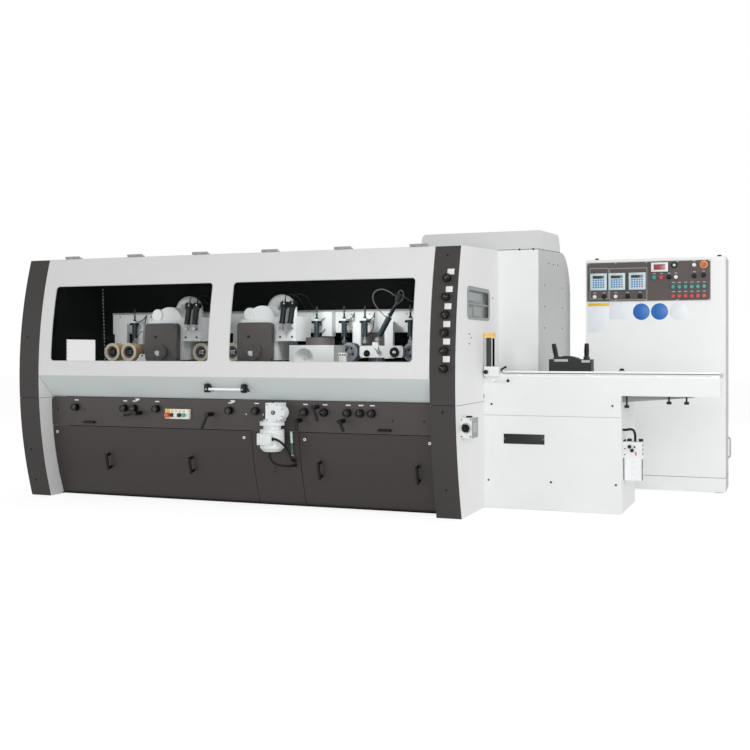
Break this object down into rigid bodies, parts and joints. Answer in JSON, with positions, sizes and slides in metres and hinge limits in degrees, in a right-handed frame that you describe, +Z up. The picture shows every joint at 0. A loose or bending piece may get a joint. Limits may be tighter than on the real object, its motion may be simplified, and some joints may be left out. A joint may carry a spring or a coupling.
{
  "type": "four sided moulder",
  "caption": "Floor-standing four sided moulder: bowed front casing with a hinged windowed hood, feed rollers, cutter spindles, infeed table and separate control cabinet.",
  "frame": {"origin": "middle of the footprint, on the floor", "axes": "+X along the machine from outfeed to infeed, +Y from the operator's side to the rear, +Z up"},
  "size_m": [4.885, 2.5096, 1.969],
  "materials": {
    "light_paint": "fine textured powder coat, satin",
    "white_paint": "fine textured powder coat, satin",
    "dark_paint": "fine textured powder coat, satin, warm dark grey",
    "black_paint": "matt black inside the chamber",
    "casting_paint": "gloss machine paint over castings",
    "cast_iron": "ground table, painted sides",
    "ground_steel": "ground top over a painted beam",
    "tool_steel": "turned and ground",
    "black_plastic": "moulded gloss",
    "panel_paint": "matt panel film",
    "teal_aluminium": "dark anodised",
    "lead_rubber": "matt sheath",
    "white_plastic": "moulded satin",
    "smoked_pane": "clear, lightly tinted sheet",
    "roller_rubber": "polyurethane tyre, satin",
    "green_button": "gloss caps",
    "red_button": "gloss caps"
  },
  "bodies": {
    "machine": {"base_frame": "cast_iron", "machine_bed": "cast_iron", "end_cabinets": "light_paint", "front_panels": "dark_paint", "roof_panel": "light_paint", "rear_housing": "light_paint", "cabin_liner": "black_paint", "infeed_base": "white_paint", "infeed_table": "ground_steel", "infeed_guides": "black_plastic", "control_cabinet": "white_paint", "control_stations": "panel_paint", "feed_beam": "casting_paint", "air_cylinders": "teal_aluminium", "spindle_units": "casting_paint", "lift_gearmotor": "casting_paint", "power_leads": "lead_rubber", "lubricator": "white_plastic"},
    "hood": {"hood_shell": "light_paint", "hood_windows": "smoked_pane", "hood_handle": "black_plastic"},
    "left_door": {"left_door": "dark_paint"},
    "right_door": {"right_door": "dark_paint"},
    "rail_knob_1": {"rail_knob_1": "black_plastic"},
    "rail_knob_2": {"rail_knob_2": "black_plastic"},
    "rail_knob_3": {"rail_knob_3": "black_plastic"},
    "rail_knob_4": {"rail_knob_4": "black_plastic"},
    "rail_knob_5": {"rail_knob_5": "black_plastic"},
    "rail_knob_6": {"rail_knob_6": "black_plastic"},
    "rail_knob_7": {"rail_knob_7": "black_plastic"},
    "rail_knob_8": {"rail_knob_8": "black_plastic"},
    "rail_knob_9": {"rail_knob_9": "black_plastic"},
    "rail_knob_10": {"rail_knob_10": "black_plastic"},
    "rail_knob_11": {"rail_knob_11": "black_plastic"},
    "column_knob_1": {"column_knob_1": "black_plastic"},
    "column_knob_2": {"column_knob_2": "black_plastic"},
    "column_knob_3": {"column_knob_3": "black_plastic"},
    "column_knob_4": {"column_knob_4": "black_plastic"},
    "column_knob_5": {"column_knob_5": "black_plastic"},
    "column_knob_6": {"column_knob_6": "black_plastic"},
    "clamp_lever_1": {"clamp_lever_1": "black_plastic"},
    "clamp_lever_2": {"clamp_lever_2": "black_plastic"},
    "clamp_lever_3": {"clamp_lever_3": "black_plastic"},
    "clamp_lever_4": {"clamp_lever_4": "black_plastic"},
    "clamp_lever_5": {"clamp_lever_5": "black_plastic"},
    "bottom_spindle": {"bottom_spindle": "tool_steel"},
    "right_spindle": {"right_spindle": "tool_steel"},
    "left_spindle": {"left_spindle": "tool_steel"},
    "first_top_spindle": {"first_top_spindle": "tool_steel"},
    "second_top_spindle": {"second_top_spindle": "tool_steel"},
    "outfeed_roller_1": {"outfeed_roller_1": "roller_rubber"},
    "outfeed_roller_2": {"outfeed_roller_2": "roller_rubber"},
    "middle_roller_1": {"middle_roller_1": "roller_rubber"},
    "middle_roller_2": {"middle_roller_2": "roller_rubber"},
    "infeed_roller_1": {"infeed_roller_1": "tool_steel"},
    "infeed_roller_2": {"infeed_roller_2": "tool_steel"},
    "panel_buttons": {"panel_buttons": "green_button"},
    "emergency_stop": {"emergency_stop": "red_button"},
    "station_buttons": {"station_buttons": "red_button"},
    "isolator_handle": {"isolator_handle": "black_plastic"}
  },
  "joints": [
    {"name": "hood_hinge", "type": "hinge", "parent": "machine", "child": "hood", "pos_m": [0, -1.06516, 1.765], "axis": [-1, 0, 0], "range_deg": [0, 75]},
    {"name": "left_door_pull_off", "type": "slide", "parent": "machine", "child": "left_door", "axis": [0, -1, 0], "range_m": [0, 0.4]},
    {"name": "right_door_pull_off", "type": "slide", "parent": "machine", "child": "right_door", "axis": [0, -1, 0], "range_m": [0, 0.4]},
    {"name": "rail_knob_1_turn", "type": "hinge", "parent": "machine", "child": "rail_knob_1", "pos_m": [-2.0565, -1.06122, 0.664], "axis": [0, -1, 0], "continuous": true},
    {"name": "rail_knob_2_turn", "type": "hinge", "parent": "machine", "child": "rail_knob_2", "pos_m": [-1.63641, -1.06122, 0.664], "axis": [0, -1, 0], "continuous": true},
    {"name": "rail_knob_3_turn", "type": "hinge", "parent": "machine", "child": "rail_knob_3", "pos_m": [-1.55553, -1.06122, 0.664], "axis": [0, -1, 0], "continuous": true},
    {"name": "rail_knob_4_turn", "type": "hinge", "parent": "machine", "child": "rail_knob_4", "pos_m": [-1.36738, -1.06122, 0.664], "axis": [0, -1, 0], "continuous": true},
    {"name": "rail_knob_5_turn", "type": "hinge", "parent": "machine", "child": "rail_knob_5", "pos_m": [-0.77852, -1.06122, 0.664], "axis": [0, -1, 0], "continuous": true},
    {"name": "rail_knob_6_turn", "type": "hinge", "parent": "machine", "child": "rail_knob_6", "pos_m": [-0.57365, -1.06122, 0.664], "axis": [0, -1, 0], "continuous": true},
    {"name": "rail_knob_7_turn", "type": "hinge", "parent": "machine", "child": "rail_knob_7", "pos_m": [-0.20536, -1.06122, 0.664], "axis": [0, -1, 0], "continuous": true},
    {"name": "rail_knob_8_turn", "type": "hinge", "parent": "machine", "child": "rail_knob_8", "pos_m": [-0.05965, -1.06122, 0.664], "axis": [0, -1, 0], "continuous": true},
    {"name": "rail_knob_9_turn", "type": "hinge", "parent": "machine", "child": "rail_knob_9", "pos_m": [0.10845, -1.06122, 0.664], "axis": [0, -1, 0], "continuous": true},
    {"name": "rail_knob_10_turn", "type": "hinge", "parent": "machine", "child": "rail_knob_10", "pos_m": [0.19935, -1.06122, 0.664], "axis": [0, -1, 0], "continuous": true},
    {"name": "rail_knob_11_turn", "type": "hinge", "parent": "machine", "child": "rail_knob_11", "pos_m": [0.28056, -1.06122, 0.664], "axis": [0, -1, 0], "continuous": true},
    {"name": "column_knob_1_turn", "type": "hinge", "parent": "machine", "child": "column_knob_1", "pos_m": [0.8275, -1.15092, 1.54175], "axis": [0, -1, 0], "continuous": true},
    {"name": "column_knob_2_turn", "type": "hinge", "parent": "machine", "child": "column_knob_2", "pos_m": [0.8275, -1.17518, 1.421], "axis": [0, -1, 0], "continuous": true},
    {"name": "column_knob_3_turn", "type": "hinge", "parent": "machine", "child": "column_knob_3", "pos_m": [0.8275, -1.19309, 1.30725], "axis": [0, -1, 0], "continuous": true},
    {"name": "column_knob_4_turn", "type": "hinge", "parent": "machine", "child": "column_knob_4", "pos_m": [0.8275, -1.2063, 1.1935], "axis": [0, -1, 0], "continuous": true},
    {"name": "column_knob_5_turn", "type": "hinge", "parent": "machine", "child": "column_knob_5", "pos_m": [0.8275, -1.21487, 1.07975], "axis": [0, -1, 0], "continuous": true},
    {"name": "column_knob_6_turn", "type": "hinge", "parent": "machine", "child": "column_knob_6", "pos_m": [0.8275, -1.21884, 0.96688], "axis": [0, -1, 0], "continuous": true},
    {"name": "clamp_lever_1_turn", "type": "hinge", "parent": "machine", "child": "clamp_lever_1", "pos_m": [-1.50239, -1.05992, 0.63193], "axis": [0, -1, 0], "range_deg": [0, 90]},
    {"name": "clamp_lever_2_turn", "type": "hinge", "parent": "machine", "child": "clamp_lever_2", "pos_m": [-0.91755, -1.06007, 0.6351], "axis": [0, -1, 0], "range_deg": [-70, 0]},
    {"name": "clamp_lever_3_turn", "type": "hinge", "parent": "machine", "child": "clamp_lever_3", "pos_m": [-0.23745, -1.05858, 0.60795], "axis": [0, -1, 0], "range_deg": [0, 70]},
    {"name": "clamp_lever_4_turn", "type": "hinge", "parent": "machine", "child": "clamp_lever_4", "pos_m": [-0.10945, -1.06204, 0.70192], "axis": [0, -1, 0], "range_deg": [0, 70]},
    {"name": "clamp_lever_5_turn", "type": "hinge", "parent": "machine", "child": "clamp_lever_5", "pos_m": [0.07937, -1.05871, 0.61005], "axis": [0, -1, 0], "range_deg": [0, 70]},
    {"name": "bottom_spindle_spin", "type": "hinge", "parent": "machine", "child": "bottom_spindle", "pos_m": [0.16092, -0.40016, 0.864], "axis": [0, 1, 0], "continuous": true},
    {"name": "right_spindle_spin", "type": "hinge", "parent": "machine", "child": "right_spindle", "pos_m": [-0.00284, -0.22216, 1], "axis": [0, 0, 1], "continuous": true},
    {"name": "left_spindle_spin", "type": "hinge", "parent": "machine", "child": "left_spindle", "pos_m": [-0.30262, -0.57916, 1], "axis": [0, 0, 1], "continuous": true},
    {"name": "first_top_spindle_spin", "type": "hinge", "parent": "machine", "child": "first_top_spindle", "pos_m": [-0.79957, -0.40016, 1.061], "axis": [0, 1, 0], "continuous": true},
    {"name": "second_top_spindle_spin", "type": "hinge", "parent": "machine", "child": "second_top_spindle", "pos_m": [-1.58962, -0.40016, 1.061], "axis": [0, 1, 0], "continuous": true},
    {"name": "outfeed_roller_1_turn", "type": "hinge", "parent": "machine", "child": "outfeed_roller_1", "pos_m": [-2.13036, -0.45816, 1.068], "axis": [0, 1, 0], "continuous": true},
    {"name": "outfeed_roller_2_turn", "type": "hinge", "parent": "machine", "child": "outfeed_roller_2", "pos_m": [-1.97766, -0.45816, 1.068], "axis": [0, 1, 0], "continuous": true},
    {"name": "middle_roller_1_turn", "type": "hinge", "parent": "machine", "child": "middle_roller_1", "pos_m": [-1.33362, -0.45816, 1.068], "axis": [0, 1, 0], "continuous": true},
    {"name": "middle_roller_2_turn", "type": "hinge", "parent": "machine", "child": "middle_roller_2", "pos_m": [-1.06257, -0.45816, 1.068], "axis": [0, 1, 0], "continuous": true},
    {"name": "infeed_roller_1_turn", "type": "hinge", "parent": "machine", "child": "infeed_roller_1", "pos_m": [-0.11346, -0.45816, 1.068], "axis": [0, 1, 0], "continuous": true},
    {"name": "infeed_roller_2_turn", "type": "hinge", "parent": "machine", "child": "infeed_roller_2", "pos_m": [0.36645, -0.45816, 1.068], "axis": [0, 1, 0], "continuous": true},
    {"name": "panel_buttons_press", "type": "slide", "parent": "machine", "child": "panel_buttons", "axis": [0, 1, 0], "range_m": [0, 0.004], "stiffness_N_per_m": 600},
    {"name": "emergency_stop_press", "type": "slide", "parent": "machine", "child": "emergency_stop", "axis": [0, 1, 0], "range_m": [0, 0.004], "stiffness_N_per_m": 400},
    {"name": "station_buttons_press", "type": "slide", "parent": "machine", "child": "station_buttons", "axis": [0, 1, 0], "range_m": [0, 0.004], "stiffness_N_per_m": 400},
    {"name": "isolator_handle_turn", "type": "hinge", "parent": "machine", "child": "isolator_handle", "pos_m": [0.937, -1.09616, 0.587], "axis": [0, -1, 0], "range_deg": [0, 90]}
  ],
  "couplings": [
    {"joint": "outfeed_roller_2_turn", "follows": "outfeed_roller_1_turn", "ratio": 1},
    {"joint": "middle_roller_1_turn", "follows": "outfeed_roller_1_turn", "ratio": 1},
    {"joint": "middle_roller_2_turn", "follows": "outfeed_roller_1_turn", "ratio": 1},
    {"joint": "infeed_roller_1_turn", "follows": "outfeed_roller_1_turn", "ratio": 1},
    {"joint": "infeed_roller_2_turn", "follows": "outfeed_roller_1_turn", "ratio": 1}
  ]
}
